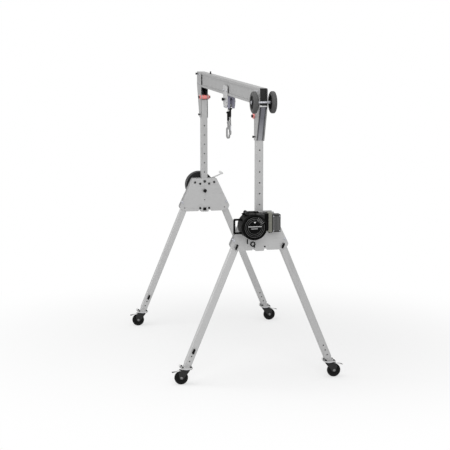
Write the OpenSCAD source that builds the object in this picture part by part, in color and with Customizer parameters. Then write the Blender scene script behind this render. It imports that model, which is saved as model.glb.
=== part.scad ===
// Folding gantry crane: a box beam on two A-shaped stands, with a trolley, a winch and a rescue block.
// X runs along the beam, Y across the stands, Z up. The origin is on the floor under the middle of the beam.

/* [Beam] */
// Distance between the axes of the two uprights
span = 2600; // [2200:50:3000]
// Distance from an upright's axis to the end of the beam
overhang = 150; // [130:5:180]
// Height of the beam's top face above the floor
beam_top = 2730; // [2700:10:2900]
// Depth of the beam
beam_depth = 155; // [140:1:170]
// Depth of the wide chords at the beam's top and bottom
chord_depth = 22; // [16:1:26]
// Distance that the beam's sides stand back from its chords
web_inset = 8; // [6:0.5:9]
// Wall thickness of the beam
beam_wall = 4; // [3:0.5:5]

/* [Heads] */
// Thickness of a head's side plates
head_plate = 4; // [3:0.5:6]
// Thickness of the web that joins a head's side plates
head_web = 4; // [3:0.5:5]
// Depth at which the web lies behind the sloping edges of the side plates
web_recess = 12; // [8:0.5:14]
// Depth of the fold pivot below the beam
pivot_drop = 108; // [100:1:120]
// Distance from an upright's axis inboard to the fold pivot
pivot_inboard = 30; // [24:1:34]
// Outer radius of the red pivot bush
bush_r = 22; // [18:0.5:24]
// Length of the red pivot bush
bush_len = 104; // [92:1:110]
// Depth of a head's lower end below the beam
head_depth = 330; // [320:1:350]
// Depth of a head's lock plunger below the beam
lock_drop = 295; // [285:1:300]

/* [Uprights] */
// Width of an upright's square tube
upright_w = 68; // [64:1:72]
// Wall thickness of an upright
upright_wall = 4; // [3:0.5:5]
// Distance between the height holes
hole_pitch = 100; // [80:5:110]
// Number of height holes
hole_count = 10; // [6:1:10]
// Diameter of the height holes
hole_d = 13; // [12.5:0.1:15]
// Height of the lowest height hole above the stand plates' bottom edge
hole_rise = 22; // [18:1:27]

/* [Stand plates] */
// Thickness of a stand plate
plate_t = 6; // [5:0.5:8]
// Height of a stand plate's top edge
plate_top_z = 1593; // [1590:1:1600]
// Height of a stand plate from its bottom edge to its top edge
plate_height = 355; // [350:1:365]
// Half the width of a stand plate's top edge
plate_top_half = 130; // [128:1:140]
// Half the width of a stand plate where it is widest
plate_wide_half = 274; // [270:1:285]

/* [Legs] */
// Angle of an open leg from the vertical
leg_angle = 22.5; // [20:0.5:24]
// Width of a leg's square tube
leg_w = 66; // [60:1:68]
// Wall thickness of a leg
leg_wall = 3.5; // [3:0.5:5]
// Distance from the upright's axis to a leg's pivot
leg_pivot_y = 105; // [102:1:110]
// Depth of a leg's pivot below the stand plate's top edge
leg_pivot_drop = 43; // [38:1:48]
// Width of the sliding foot's square tube
foot_w = 57.6; // [50:0.1:57.6]
// Length of the foot's tube inside the leg
foot_inside = 420; // [300:10:500]
// Distance between the foot's holes
foot_pitch = 50; // [40:1:60]

/* [Castors] */
// Diameter of a castor wheel
castor_d = 127; // [110:1:128]
// Width of a castor wheel
castor_tread = 34; // [28:1:38]
// Height of a castor with its top plate
castor_h = 155; // [152:1:170]
// Distance that a castor's wheel trails its swivel
castor_trail = 47; // [40:1:50]
// Side of a castor's square top plate
castor_plate = 105; // [100:1:115]
// Distance between a castor plate's bolts
castor_bolts = 77; // [70:1:80]

/* [Transport wheels] */
// Diameter of a transport wheel
transport_d = 200; // [180:1:210]
// Width of a transport wheel's tyre
transport_tread = 50; // [40:1:56]
// Distance between the transport wheels' middles
transport_track = 171; // [165:1:200]
// Depth of the transport axle below the beam's top
transport_drop = 125; // [120:1:135]

/* [Trolley] */
// Length of the trolley's side plates
trolley_len = 198; // [190:1:210]
// Thickness of the trolley's side plates
trolley_plate = 5; // [4:0.5:6]
// Depth of the trolley's lower edge below the beam
trolley_drop = 128; // [114:1:130]
// Radius of the trolley's rollers
roller_r = 20; // [16:0.5:22]
// Radius of a sheave where the rope lies
sheave_r = 25; // [22:0.5:28]
// Diameter of the lifting ropes
rope_d = 8; // [6:0.5:9]
// Distance between the two ropes
rope_gap = 96; // [90:1:100]
// Depth of the far rope's end below the beam
far_drop = 185; // [175:1:200]
// Depth of the near rope's end below the beam
near_drop = 140; // [138:1:170]

/* [Rescue block] */
// Radius of the rescue block's drum cover
drum_r = 118; // [110:1:126]
// Depth of the rescue block
block_depth = 200; // [180:1:205]
// Distance of the drum's middle from the upright, towards the left
block_y = 95; // [90:1:118]
// Depth of the drum's middle below the stand plate's top edge
block_drop = 111; // [85:1:115]
// Radius of the drum cover's raised middle
drum_hub_r = 52; // [44:1:54]
// Number of ribbed rings on the drum cover
drum_rings = 3; // [1:1:3]
// Radius of the carrying handle's bar
handle_r = 9.5; // [8:0.5:11]
// Distance of the handle's upright bar from the drum's axis
handle_reach = 167; // [160:1:190]
// Half the height of the handle between the middles of its bars
handle_half = 62; // [56:1:72]

/* [Winch] */
// Radius of the winch's drum
winch_r = 149; // [140:1:152]
// Width of the winch's drum
winch_width = 80; // [50:1:90]
// Depth of the winch's axis below the stand plate's top edge
winch_drop = 85; // [80:1:120]
// Distance of the winch's axis from the upright, towards the left
winch_y = 36; // [20:1:38]
// Length of the crank arm
crank_len = 290; // [220:1:300]
// Angle of the crank arm above the horizontal
crank_angle = 23; // [0:1:45]
// Length of the crank's grip
grip_len = 117.5; // [90:0.5:130]

/* [Hidden] */
$fn = 48;

// Clearances: beside a part that slides, round a shaft, and between faces that pass each other
slide_gap = 0.4;
run_gap = 0.05;
pass_gap = 0.35;

beam_foot = beam_top - beam_depth;
pivot_z = beam_foot - pivot_drop;
head_foot_z = beam_foot - head_depth;
head_lock_z = beam_foot - lock_drop;
plate_foot_z = plate_top_z - plate_height;
leg_pivot_z = plate_top_z - leg_pivot_drop;
first_hole_z = plate_foot_z + hole_rise;
block_z = plate_top_z - block_drop;
winch_z = plate_top_z - winch_drop;
// Reach of a cut past what it cuts
past = 2 * upright_w;

beam_half = upright_w / 2;
beam_end = span / 2 + overhang;
web_half = beam_half - web_inset;
cap_plug = 12;
cap_recess = 3;

head_in = beam_half + slide_gap;
head_out = head_in + head_plate;
head_top_x = overhang + 34;
head_foot_x = upright_w / 2 + pass_gap + head_web + web_recess;
head_slope = atan2(head_top_x - head_foot_x, beam_foot + 14 - head_foot_z);
lug_r = bush_r + 12;
flange = 3;
pivot_bolt_r = 8;

upright_foot = first_hole_z - 20;
upright_shoulder = pivot_z - bush_r - 6;
plate_in = upright_w / 2 + slide_gap;
plate_out = plate_in + plate_t;
lock_r = 5;
lock_travel = 8;

leg_bolt_r = 8;
leg_head = 25;
leg_run = (leg_pivot_z - castor_h) / cos(leg_angle);
leg_tail = 38;
leg_lock_run = 297;
leg_pin_r = 6;
leg_pin_travel = 15;
height_pin_r = 6;
height_pin_travel = 12;
stop_r = 9;

corner_r = 6;
foot_plate_t = 7;
castor_plate_t = 6;
swivel_z = castor_h - castor_plate_t;
axle_r = 6;

trolley_in = beam_half + 2;
trolley_out = trolley_in + trolley_plate;
sheave_x = rope_gap / 2 + sheave_r;
sheave_z = beam_foot - 60;
sheave_rim = sheave_r + 7;
sheave_half = 9;
groove_r = rope_d / 2 + pass_gap;
tie_r = 4.9;
tie_x = rope_gap / 2 - rope_d / 2 - tie_r - 1;
tie_z = 12 - trolley_drop;
roller_x = 64;
roller_z = beam_foot + chord_depth + roller_r + pass_gap;
stud_x = -930;
axle_x = span / 2 + overhang + 20;
axle_z = beam_top - transport_drop;
axle_bar_r = 10;

// Points of an arc that rounds the corner at b between a and c
function unit(v) = v / norm(v);
function corner(a, b, c, r, steps = 6) =
    r <= 0 ? [b] :
    let (u = unit(a - b), w = unit(c - b), half = acos(u * w) / 2,
        middle = b + unit(u + w) * r / sin(half), start = b + u * r / tan(half) - middle,
        finish = b + w * r / tan(half) - middle, a0 = atan2(start[1], start[0]),
        turn = (atan2(finish[1], finish[0]) - a0 + 540) % 360 - 180)
    [for (i = [0:steps]) middle + r * [cos(a0 + turn * i / steps), sin(a0 + turn * i / steps)]];
function rounded(p, r) = [for (i = [0:len(p) - 1])
    each corner(p[(i + len(p) - 1) % len(p)], p[i], p[(i + 1) % len(p)], is_list(r) ? r[i] : r)];

// Places: end is 1 at the near stand and -1 at the far one, side is -1 at the left and 1 at the right
module at_end(end) translate([end * span / 2, 0, 0]) rotate([0, 0, end > 0 ? 0 : 180]) children();
module at_corner(end, side) translate([end * span / 2, 0, 0]) rotate([0, 0, side < 0 ? 0 : 180]) children();
module along_leg() translate([0, -leg_pivot_y, leg_pivot_z]) rotate([-leg_angle, 0, 0]) children();
module at_castor() translate([0, -leg_pivot_y - leg_run * sin(leg_angle), 0]) children();
module along_x(r, x0, x1) translate([x0, 0, 0]) rotate([0, 90, 0]) cylinder(r = r, h = x1 - x0);
module along_y(r, y0, y1) translate([0, y1, 0]) rotate([90, 0, 0]) cylinder(r = r, h = y1 - y0);
module upright_sheet(t) translate([0, t / 2, 0]) rotate([90, 0, 0]) linear_extrude(t) children();
module cross_sheet(t) rotate([90, 0, 90]) translate([0, 0, -t / 2]) linear_extrude(t) children();
module square_bar(w, r = corner_r) polygon(rounded([[-w, -w], [w, -w], [w, w], [-w, w]] / 2, r));
module hex_head(r, h) cylinder(r = r, h = h, $fn = 6);

// Beam
module beam_outline() {
    translate([-beam_half, 0]) square([2 * beam_half, chord_depth]);
    translate([-beam_half, beam_depth - chord_depth]) square([2 * beam_half, chord_depth]);
    translate([-web_half, 0]) square([2 * web_half, beam_depth]);
}
module beam() color("silver") difference() {
    translate([0, 0, beam_foot]) cross_sheet(2 * beam_end) difference() {
        beam_outline();
        translate([beam_wall - web_half, beam_wall])
            square([2 * (web_half - beam_wall), beam_depth - 2 * beam_wall]);
    }
    for (end = [-1, 1]) at_end(end) for (x = [40, 110]) for (z = [30, 125])
        translate([x, 0, beam_foot + z]) along_y(5, -beam_half - 1, beam_half + 1);
}
module end_caps() color("black") {
    beam_caps();
    top_stud();
    at_end(-1) for (s = [-1, 1]) translate([head_top_x - 16, s * (head_out + 0.1), beam_top - 24])
        rotate([-90 * s, 0, 0]) rotate_extrude()
            polygon(rounded([[0, 0], [9, 0], [12, 18], [0, 18]], [0, 0, 3, 0]));
}
module top_stud() translate([stud_x, 0, beam_top + 0.1]) rotate_extrude()
    polygon(rounded([[0, 0], [12, 0], [12, 4], [7, 4], [7, 28], [0, 28]], [0, 0, 1, 1, 2, 0]));
// The end caps' plugs are hollow sleeves inside the beam's walls
module plug_outline(inset) translate([inset - web_half, inset])
    square([2 * (web_half - inset), beam_depth - 2 * inset]);
module beam_caps() for (end = [-1, 1]) at_end(end) translate([overhang, 0, beam_foot]) {
    translate([cap_recess / 2, 0, 0]) cross_sheet(cap_recess) beam_outline();
    translate([-cap_plug / 2, 0, 0]) cross_sheet(cap_plug + 0.1) difference() {
        plug_outline(beam_wall + slide_gap);
        plug_outline(2 * beam_wall + slide_gap);
    }
}

// Head: two side plates bolted to the beam, joined below it by a sloping web
module head_side() {
    difference() {
        union() {
            polygon(rounded([[-beam_half - 4, head_foot_z], [head_foot_x, head_foot_z],
                [head_top_x, beam_foot + 14], [head_top_x, beam_top - 1], [-beam_half - 4, beam_top - 1]],
                [4, 10, 40, 12, 4]));
            translate([-pivot_inboard, pivot_z]) circle(lug_r);
        }
        translate([-pivot_inboard, pivot_z]) circle(bush_r + run_gap);
    }
}
function web_x(z) = head_foot_x - web_recess / cos(head_slope) + (z - head_foot_z) * tan(head_slope);
module head(end) color("silver") at_end(end) {
    web_foot = head_foot_z + 4;
    web_top = beam_foot - 24;
    web_end = beam_foot - 4;
    back = head_web / cos(head_slope);
    boss_top = beam_foot - 13;
    boss_len = 100 / cos(head_slope);
    boss_half = 20;
    boss_rise = 8;
    for (s = [-1, 1]) difference() {
        translate([0, s * (head_in + head_plate / 2), 0]) upright_sheet(head_plate) head_side();
        if (s * end < 0) translate([0, 0, head_lock_z]) along_y(lock_r + run_gap, -past, past);
        translate([axle_x - span / 2, 0, axle_z]) along_y(axle_bar_r + run_gap, -head_out - 1, head_out + 1);
        for (x = [40, 110]) for (z = [30, 125])
            translate([x, 0, beam_foot + z]) along_y(5, -head_out - 1, head_out + 1);
    }
    upright_sheet(2 * head_in + 0.2) polygon([[web_x(web_foot) - back, web_foot],
        [web_x(web_foot), web_foot], [web_x(web_top), web_top], [web_x(web_top), web_end],
        [web_x(web_top) - back, web_end], [web_x(web_top) - back, web_top]]);
    translate([web_x(boss_top) - 3, 0, boss_top]) rotate([0, 90 + head_slope, 0])
        linear_extrude(boss_rise + 3) polygon(rounded([[0, -boss_half], [boss_len, -boss_half],
            [boss_len, boss_half], [0, boss_half]], [2, boss_half - 0.1, boss_half - 0.1, 2]));
    for (x = [40, 110]) for (z = [30, 125]) for (s = [-1, 1])
        translate([x, s * (head_out + 0.01), beam_foot + z]) rotate([-90 * s, 0, 0]) cylinder(r = 8, h = 4);
}
module pivot_bushes() for (end = [-1, 1]) at_end(end) translate([-pivot_inboard, 0, pivot_z]) {
    color("tomato") difference() {
        union() {
            along_y(bush_r, -bush_len / 2, bush_len / 2);
            for (s = [-1, 1]) translate([0, s * (bush_len / 2 - 2), 0])
                along_y(bush_r + flange, -2, 2);
        }
        along_y(pivot_bolt_r + run_gap, -bush_len, bush_len);
    }
    color("black") {
        along_y(pivot_bolt_r, -bush_len / 2 - 4, bush_len / 2 + 4);
        for (s = [-1, 1]) translate([0, s * (bush_len / 2 + 0.1), 0]) rotate([-90 * s, 0, 0])
            hex_head(15, 12);
    }
}
module plunger(r, nose, travel, knob_r, knob_h) {
    cylinder(r = r, h = nose + travel + 1);
    translate([0, 0, nose + travel]) rotate_extrude() polygon(rounded([[0, 0], [knob_r * 0.7, 0],
        [knob_r, knob_h * 0.35], [knob_r, knob_h * 0.8], [knob_r * 0.8, knob_h], [0, knob_h]],
        [0, 1, 2, 2, 2, 0]));
}
module head_plunger(end) color("dimgray") at_end(end)
    translate([0, -end * (upright_w / 2 + pass_gap), head_lock_z]) rotate([90 * end, 0, 0])
        plunger(lock_r, head_plate + slide_gap + pass_gap, lock_travel, 11, 14);

// Transport axle and wheels at the near end
module transport_axle() color("lightgray") translate([axle_x, 0, axle_z]) {
    hub_in = transport_track / 2 - transport_tread / 2 + 4;
    hub_out = transport_track / 2 + transport_tread / 2 - 4;
    along_y(axle_bar_r, -hub_out - 3, hub_out + 3);
    for (turn = [0, 180]) rotate([0, 0, turn]) {
        along_y(14, head_out + pass_gap, hub_in - pass_gap);
        along_y(16, hub_out + pass_gap, hub_out + 7);
    }
}
module transport_wheel(side) translate([axle_x, side * transport_track / 2, axle_z]) rotate([90, 0, 0]) {
    half = transport_tread / 2;
    rim_r = transport_d / 2 - 38;
    tyre_r = transport_d / 2;
    color("dimgray") rotate_extrude($fn = 72) polygon(rounded([[rim_r, -half + 6], [tyre_r - 20, -half],
        [tyre_r, -half * 0.62], [tyre_r, half * 0.62], [tyre_r - 20, half], [rim_r, half - 6]],
        [2, 14, 14, 14, 14, 2]));
    color("black") rotate_extrude($fn = 72) polygon([[axle_bar_r + run_gap, -half + 4], [26, -half + 4],
        [30, -half + 12], [rim_r - 8, -half + 12], [rim_r - 0.1, -half + 5], [rim_r - 0.1, half - 5],
        [rim_r - 8, half - 12], [30, half - 12], [26, half - 4], [axle_bar_r + run_gap, half - 4]]);
}

// Trolley
module trolley_frame() color("silver") {
    foot = -trolley_drop;
    half = trolley_len / 2;
    for (s = [-1, 1]) {
        difference() {
            translate([0, s * (trolley_in + trolley_plate / 2), beam_foot]) upright_sheet(trolley_plate)
                polygon(rounded([[-half * 0.62, foot], [half * 0.62, foot], [half, foot + 36], [half, 76],
                    [half * 0.8, 94], [-half * 0.8, 94], [-half, 76], [-half, foot + 36]], 8));
            for (x = [-1, 1]) translate([x * sheave_x, 0, sheave_z]) along_y(axle_r + run_gap, -past, past);
            for (x = [-1, 1]) translate([x * roller_x, 0, roller_z]) along_y(axle_r + run_gap, -past, past);
            for (x = [-1, 1]) translate([x * tie_x, 0, beam_foot + tie_z]) along_y(tie_r + 0.1, -past, past);
        }
    }
    for (x = [-1, 1]) difference() {
        translate([x * (half - 4), 0, beam_foot - trolley_drop / 2 - 4])
            cube([4, 2 * trolley_in + 0.02, trolley_drop - 8], center = true);
        translate([x * half, 0, sheave_z + sheave_r + rope_d - past])
            cube([20, 2 * sheave_half + 3, 2 * past], center = true);
    }
    for (x = [-1, 1]) translate([x * sheave_x, 0, sheave_z]) trolley_bolt(trolley_out, axle_r, 11);
    for (x = [-1, 1]) translate([x * tie_x, 0, beam_foot + tie_z]) trolley_bolt(trolley_out, tie_r, 9);
    for (x = [-1, 1]) for (s = [-1, 1])
        translate([x * roller_x, 0, roller_z]) rotate([0, 0, s > 0 ? 0 : 180]) {
            along_y(axle_r, web_half + 1.2, trolley_out + 0.1);
            along_y(11, trolley_out + 0.1, trolley_out + 7);
        }
    translate([-30, 0, beam_foot - 44]) {
        along_y(9, -trolley_out - 12, -trolley_out - 0.1);
        along_y(15, -trolley_out - 26, -trolley_out - 12);
    }
}
module trolley_bolt(out, r, head_r) {
    along_y(r, -out - 0.1, out + 0.1);
    for (s = [-1, 1]) translate([0, s * (out + 0.1), 0]) rotate([-90 * s, 0, 0]) hex_head(head_r, 7);
}
module trolley_rollers(end) color("dimgray") translate([end * roller_x, 0, roller_z])
    for (s = [-1, 1]) rotate([0, 0, s > 0 ? 0 : 180]) difference() {
        along_y(roller_r, web_half + 1.6, beam_half - 0.4);
        along_y(axle_r + run_gap, 0, past);
    }
module sheave(end) color("slategray") translate([end * sheave_x, 0, sheave_z]) rotate([90, 0, 0])
    rotate_extrude($fn = 64) polygon(concat([[axle_r + run_gap, -trolley_in + 0.6], [12, -trolley_in + 0.6],
        [12, -sheave_half], [sheave_rim, -sheave_half]],
        [for (a = [-75:15:75]) [sheave_r - groove_r * cos(a), groove_r * sin(a)]],
        [[sheave_rim, sheave_half], [12, sheave_half], [12, trolley_in - 0.6],
        [axle_r + run_gap, trolley_in - 0.6]]));
module drop_rope(end, drop) translate([end * rope_gap / 2, 0, 0]) color("gray") {
    translate([0, 0, beam_foot - drop]) cylinder(r = rope_d / 2, h = drop + sheave_z - beam_foot);
    translate([end * sheave_r, 0, sheave_z]) rotate([90, 0, 0]) rotate([0, 0, end > 0 ? 90 : 0])
        rotate_extrude(angle = 90) translate([sheave_r, 0]) circle(rope_d / 2);
    translate([end * sheave_r, 0, sheave_z + sheave_r]) rotate([0, 0, end > 0 ? 0 : 180])
        along_x(rope_d / 2, 0, trolley_len / 2 - sheave_x - 1);
}

// Hook on its rope fitting: a bumper, a sleeve, a swivel eye and a snap hook that opens with a gate
sleeve_h = 78;
swivel_h = 62;
hook_wire = 7;
hook_r = 23;
hook_spine = 62;
hook_t = 13;
hook_foot = 2 * hook_r + hook_spine;
gate_w = 8;
gate_top = 14;
gate_foot = hook_foot - hook_r - 15;
gate_t = hook_t - 5;
rivet_r = 2.5;
rivet_z = -gate_top - gate_w / 2;
function hook_yaw(end) = end > 0 ? 0 : 20;
module at_hook(end, drop) translate([end * rope_gap / 2, 0, beam_foot - drop - sleeve_h - swivel_h])
    rotate([0, 0, hook_yaw(end)]) children();
module hook_outline() difference() {
    out = hook_r + hook_wire;
    in = hook_r - hook_wire;
    foot = -hook_foot - hook_wire;
    polygon(rounded([[-out, 2], [out, 2], [out, foot], [-out, foot]], out - 0.1));
    polygon(rounded([[-in, -hook_wire - 6], [in, -hook_wire - 6], [in, hook_wire - hook_foot],
        [-in, hook_wire - hook_foot]], in - 0.1));
    translate([hook_r - hook_wire - 1, -gate_foot - pass_gap])
        square([2 * hook_wire + 2, gate_foot - gate_top + 2 * pass_gap]);
}
module hook(end, drop) at_hook(end, drop) {
    translate([0, 0, swivel_h]) color("black") {
        translate([0, 0, sleeve_h]) rotate_extrude() polygon(rounded([[rope_d / 2 + pass_gap, -2], [19, -2],
            [19, 10], [13, 16], [rope_d / 2 + pass_gap, 16]], [0, 3, 3, 2, 0]));
        rotate_extrude() polygon(rounded([[0, 0], [9, 0], [11, 12], [11, sleeve_h - pass_gap],
            [0, sleeve_h - pass_gap]], [0, 2, 2, 2, 0]));
    }
    color("silver") {
        difference() {
            translate([0, 0, swivel_h - 18]) along_y(17, -5, 5);
            translate([0, 0, swivel_h - 18]) along_y(9, -6, 6);
        }
        cylinder(r = 10, h = swivel_h - 33);
        translate([0, 0, swivel_h - 5]) cylinder(r = 8, h = 5.5);
        upright_sheet(hook_t) hook_outline();
        cheek_t = (hook_t - gate_t) / 2 - pass_gap;
        for (s = [-1, 1]) translate([0, s * (hook_t - cheek_t) / 2, 0]) upright_sheet(cheek_t) hook_cheek();
    }
}
module hook_cheek() translate([hook_r, rivet_z]) difference() {
    union() {
        circle(rivet_r + 3);
        translate([-rivet_r - 3, 0]) square([2 * rivet_r + 6, gate_w / 2 + 2]);
    }
    circle(rivet_r + run_gap);
}
module hook_gate(end, drop) at_hook(end, drop) color("gainsboro") {
    upright_sheet(gate_t) translate([hook_r, 0]) polygon(rounded([[-gate_w / 2, -gate_foot],
        [gate_w / 2, -gate_foot], [gate_w / 2, -gate_top], [-gate_w / 2, -gate_top]], gate_w / 2 - 0.05));
    translate([hook_r, 0, rivet_z]) along_y(rivet_r, -hook_t / 2, hook_t / 2);
}

// Uprights
module upright(end) color("silver") at_end(end) difference() {
    union() {
        translate([0, 0, upright_foot]) linear_extrude(upright_shoulder - upright_foot)
            square_bar(upright_w);
        for (s = [-1, 1]) translate([0, s * (upright_w - upright_wall) / 2, 0]) upright_sheet(upright_wall) {
            translate([-pivot_inboard, pivot_z]) circle(lug_r - 2);
            polygon([[-upright_w / 2 + 6, upright_shoulder - 80], [upright_w / 2 - 8, upright_shoulder - 80],
                [-pivot_inboard + (lug_r - 2) * cos(24), pivot_z + (lug_r - 2) * sin(24)],
                [-pivot_inboard - 6, pivot_z]]);
            polygon([[-upright_w / 2, upright_shoulder - 20], [0, upright_shoulder - 20], [0, pivot_z],
                [-pivot_inboard - (lug_r - 2), pivot_z]]);
        }
    }
    translate([0, 0, upright_foot - 1]) linear_extrude(upright_shoulder - upright_foot + 2)
        square_bar(upright_w - 2 * upright_wall, 2);
    translate([-pivot_inboard, 0, pivot_z]) along_y(bush_r + run_gap, -upright_w, upright_w);
    for (i = [0:hole_count - 1]) translate([0, 0, first_hole_z + i * hole_pitch])
        along_x(hole_d / 2, -upright_w, upright_w);
    translate([0, 0, head_lock_z]) along_y(lock_r + 0.5, -upright_w, upright_w);
}

// Stand plates, bolts and guide blocks
module stand_outline() {
    half = [[0, plate_foot_z - 8], [40, plate_foot_z - 8], [46, plate_foot_z + 14], [62, plate_foot_z + 14],
        [70, plate_foot_z], [198, plate_foot_z], [262, plate_foot_z + 26],
        [plate_wide_half, plate_foot_z + 54], [plate_top_half, plate_top_z], [0, plate_top_z]];
    radii = [0, 8, 5, 5, 6, 10, 16, 26, 8, 0];
    outline = rounded(concat(half, [for (i = [len(half) - 2:-1:1]) [-half[i][0], half[i][1]]]),
        concat(radii, [for (i = [len(half) - 2:-1:1]) radii[i]]));
    polygon(outline);
}
function leg_y(z) = leg_pivot_y + (leg_pivot_z - z) * tan(leg_angle);
function leg_at(run) = [leg_pivot_y + run * sin(leg_angle), leg_pivot_z - run * cos(leg_angle)];
stop_z = plate_foot_z + 97;
stop_y = leg_y(stop_z) + leg_w / 2 / cos(leg_angle) + (stop_r + pass_gap) / cos(leg_angle);
guide_bolts = [for (s = [-1, 1]) for (z = [plate_top_z - 58, plate_foot_z + 32]) [s * 49, z]];
plate_bolts = concat([for (s = [-1, 1]) [s * leg_pivot_y, leg_pivot_z]], guide_bolts,
    [for (s = [-1, 1]) [s * stop_y, stop_z]]);
function height_z(i) = first_hole_z + i * hole_pitch;
// The near stand's lower guide bolts are flush with the outer plate
function hidden_head(end, p) = end > 0 && abs(p[0]) < 50 && p[1] < stop_z;
module stand_plates(end) color("silver") at_end(end) for (s = [-1, 1]) difference() {
    translate([s * (plate_in + plate_t / 2), 0, 0]) cross_sheet(plate_t) stand_outline();
    for (p = plate_bolts) translate([0, p[0], p[1]]) along_x(leg_bolt_r + run_gap, -past, past);
    for (side = [-1, 1]) translate([0, side * leg_at(leg_lock_run)[0], leg_at(leg_lock_run)[1]])
        along_x(leg_pin_r + run_gap, -past, past);
    for (i = [1:3]) translate([0, 0, height_z(i)]) along_x(height_pin_r + run_gap, -past, past);
}
module stand_bolts(end) color("dimgray") at_end(end) {
    for (p = plate_bolts) translate([0, p[0], p[1]]) {
        along_x(leg_bolt_r, -plate_out - 0.1, plate_out + 0.1);
        for (s = hidden_head(end, p) ? [-1] : [-1, 1])
            translate([s * (plate_out + 0.1), 0, 0]) rotate([0, 90 * s, 0]) {
                cylinder(r = 12, h = 2.5);
                translate([0, 0, 2.4]) hex_head(10.5, 7);
            }
    }
    for (side = [-1, 1]) translate([0, side * stop_y, stop_z])
        along_x(stop_r, -plate_in + 0.1, plate_in - 0.1);
    translate([-plate_out - 10.1, 0, height_z(3)]) along_x(13.5, 0, 10);
}
module guide_blocks(end) color("black") at_end(end) {
    near_face = upright_w / 2 + pass_gap;
    block_w = 26;
    for (p = guide_bolts) difference() {
        translate([-plate_in + 0.1, p[0] > 0 ? near_face : -near_face - block_w, p[1] - 20])
            cube([2 * plate_in - 0.2, block_w, 40]);
        translate([0, p[0], p[1]]) along_x(leg_bolt_r + run_gap, -past, past);
    }
    translate([-plate_out - 9.1, -17, plate_foot_z + 8]) cube([9, 34, 30]);
    if (end > 0) {
        translate([plate_out + pass_gap, -64, plate_foot_z + 58]) difference() {
            along_x(24, 0, 9);
            along_x(15, -1, 10);
        }
        translate([plate_out + pass_gap, -119, plate_foot_z + 62]) cube([10, 8, 42]);
    }
}
module height_plunger(end) color("black") at_end(end) translate([-upright_w / 2 - pass_gap, 0, height_z(2)])
    rotate([0, -90, 0]) plunger(height_pin_r, plate_t + slide_gap - pass_gap, height_pin_travel, 19, 22);
module leg_pin(end, side) color("black") at_end(end) {
    spot = leg_at(leg_lock_run);
    nose = plate_out - leg_w / 2 - pass_gap;
    translate([leg_w / 2 + pass_gap, end * side * spot[0], spot[1]]) rotate([0, 90, 0]) {
        cylinder(r = leg_pin_r, h = nose + leg_pin_travel + 2);
        translate([0, 0, nose + leg_pin_travel]) rotate([0, 0, -leg_angle]) linear_extrude(12)
            polygon(rounded([[-26, -8.5], [26, -8.5], [26, 8.5], [-26, 8.5]], 8));
    }
}

// Legs and feet
module leg(end, side) at_corner(end, side) along_leg() {
    color("silver") difference() {
        translate([0, 0, leg_tail - leg_run]) linear_extrude(leg_run - leg_tail + leg_head)
            square_bar(leg_w);
        translate([0, 0, -leg_run]) linear_extrude(2 * leg_run) square_bar(leg_w - 2 * leg_wall, 3);
        along_x(leg_bolt_r + run_gap, -past, past);
        translate([0, 0, -leg_lock_run]) along_x(leg_pin_r + 0.5, -past, past);
        for (i = [0:2]) translate([0, 0, leg_hole(i)]) along_x(leg_pin_r + 0.5, -past, past);
    }
    color("black") translate([leg_w / 2 + 0.1, 0, leg_hole(2)]) rotate([0, 90, 0]) linear_extrude(13)
        polygon(rounded([[-26, -10], [26, -10], [26, 10], [-26, 10]], 9.5));
}
function leg_hole(i) = 70 + i * foot_pitch - leg_run;
module foot(end, side) {
    at_corner(end, side) {
        color("gainsboro") {
            difference() {
                along_leg() translate([0, 0, -leg_run - 40]) linear_extrude(foot_inside + 40) difference() {
                    square_bar(foot_w, 5);
                    square_bar(foot_w - 8, 2);
                }
                translate([-past, -beam_top, -past])
                    cube([2 * past, beam_top, past + castor_h + foot_plate_t - 0.5]);
                along_leg() for (i = [0:2])
                    translate([0, 0, leg_hole(i)]) along_x(leg_pin_r + 0.5, -past, past);
            }
            at_castor() translate([0, 0, castor_h]) difference() {
                linear_extrude(foot_plate_t) square_bar(castor_plate + 4, 10);
                castor_holes(foot_plate_t);
            }
        }
        at_castor() color("lightgray") translate([0, 0, swivel_z]) difference() {
            linear_extrude(castor_plate_t - 0.1) square_bar(castor_plate, 10);
            castor_holes(castor_plate_t);
        }
        at_castor() color("dimgray") for (x = [-1, 1]) for (y = [-1, 1])
            translate([x, y, 0] * castor_bolts / 2) castor_bolt();
    }
}
module castor_holes(t) for (x = [-1, 1]) for (y = [-1, 1])
    translate([x * castor_bolts / 2, y * castor_bolts / 2, -1]) cylinder(r = 5.2, h = t + 2);
module castor_bolt() {
    translate([0, 0, swivel_z - 5]) cylinder(r = 5, h = castor_plate_t + foot_plate_t + 14);
    translate([0, 0, swivel_z - 6.1]) hex_head(8.5, 6);
    translate([0, 0, castor_h + foot_plate_t + 0.1]) hex_head(8.5, 9);
}

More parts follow.
